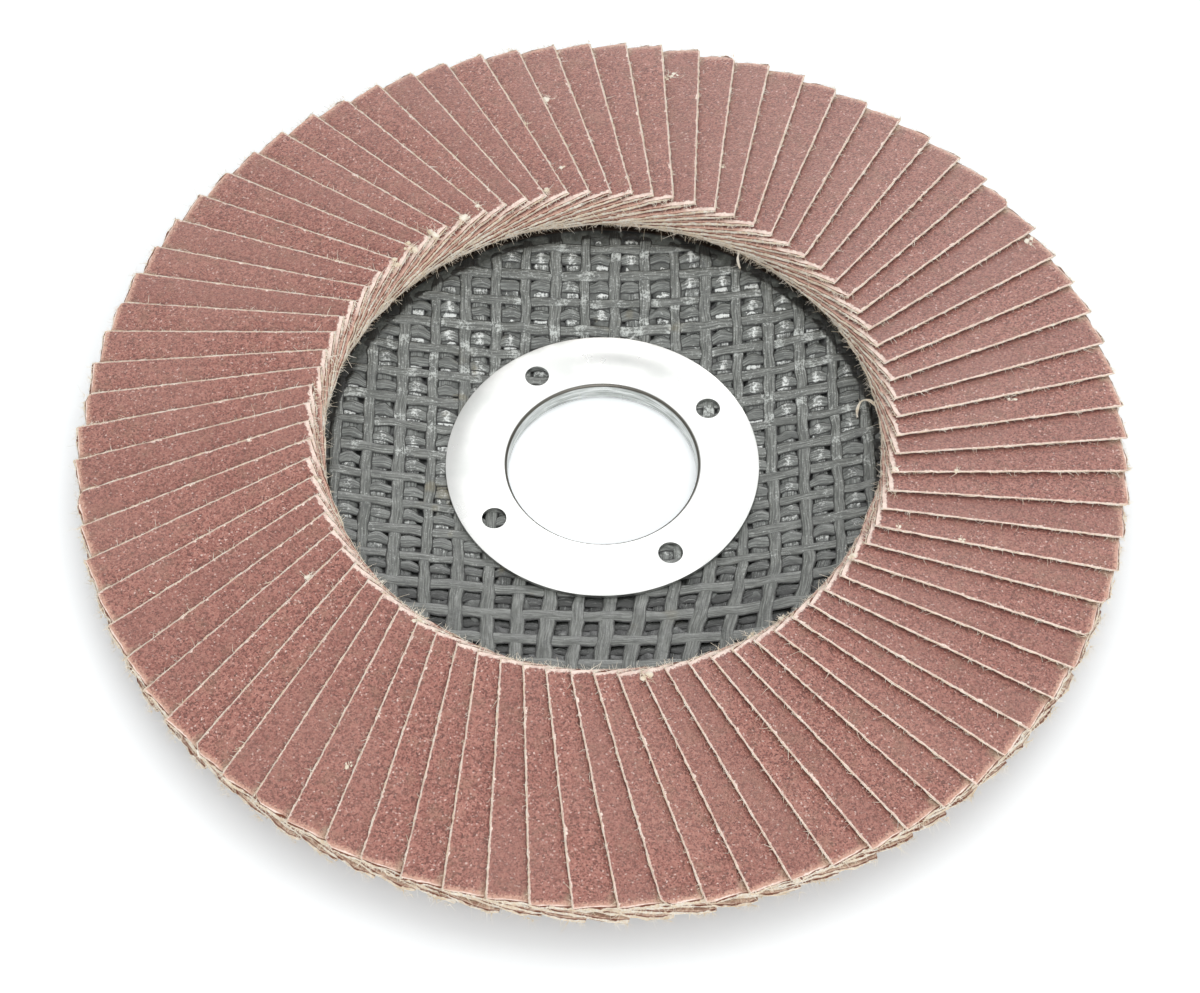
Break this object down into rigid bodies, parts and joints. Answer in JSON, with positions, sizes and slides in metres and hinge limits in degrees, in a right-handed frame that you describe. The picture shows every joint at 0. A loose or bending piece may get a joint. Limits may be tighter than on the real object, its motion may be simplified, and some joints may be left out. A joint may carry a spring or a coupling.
{
  "type": "flap disc",
  "caption": "Round grinding disc of overlapping abrasive cloth flaps, fanned round a dished fibre backing plate with a steel-ringed bore.",
  "frame": {"origin": "on the bore's axis, at the back face of the hub, where the disc lies on a flat surface", "axes": "+Z along the bore's axis, towards the working face and the flaps; X and Y lie in the disc"},
  "size_m": [0.1208, 0.1206, 0.0118],
  "materials": {
    "abrasive_cloth": "reddish-brown grit on cotton cloth, matt",
    "fibre_laminate": "black resin over an open glass mesh",
    "steel_ring": "bright stamped sheet, satin",
    "cured_adhesive": "cured resin"
  },
  "bodies": {
    "root": {"centre_ring": "steel_ring", "backing_plate": "fibre_laminate", "adhesive_bed": "cured_adhesive", "flap_pair_01": "abrasive_cloth", "flap_pair_02": "abrasive_cloth", "flap_pair_03": "abrasive_cloth", "flap_pair_04": "abrasive_cloth", "flap_pair_05": "abrasive_cloth", "flap_pair_06": "abrasive_cloth", "flap_pair_07": "abrasive_cloth", "flap_pair_08": "abrasive_cloth", "flap_pair_09": "abrasive_cloth", "flap_pair_10": "abrasive_cloth", "flap_pair_11": "abrasive_cloth", "flap_pair_12": "abrasive_cloth", "flap_pair_13": "abrasive_cloth", "flap_pair_14": "abrasive_cloth", "flap_pair_15": "abrasive_cloth", "flap_pair_16": "abrasive_cloth", "flap_pair_17": "abrasive_cloth", "flap_pair_18": "abrasive_cloth", "flap_pair_19": "abrasive_cloth", "flap_pair_20": "abrasive_cloth", "flap_pair_21": "abrasive_cloth", "flap_pair_22": "abrasive_cloth", "flap_pair_23": "abrasive_cloth", "flap_pair_24": "abrasive_cloth", "flap_pair_25": "abrasive_cloth", "flap_pair_26": "abrasive_cloth", "flap_pair_27": "abrasive_cloth", "flap_pair_28": "abrasive_cloth", "flap_pair_29": "abrasive_cloth", "flap_pair_30": "abrasive_cloth", "flap_pair_31": "abrasive_cloth", "flap_pair_32": "abrasive_cloth", "flap_pair_33": "abrasive_cloth", "flap_pair_34": "abrasive_cloth", "flap_pair_35": "abrasive_cloth", "flap_pair_36": "abrasive_cloth", "flap_pair_37": "abrasive_cloth", "flap_pair_38": "abrasive_cloth", "flap_pair_39": "abrasive_cloth", "flap_pair_40": "abrasive_cloth", "flap_pair_41": "abrasive_cloth"}
  },
  "joints": []
}
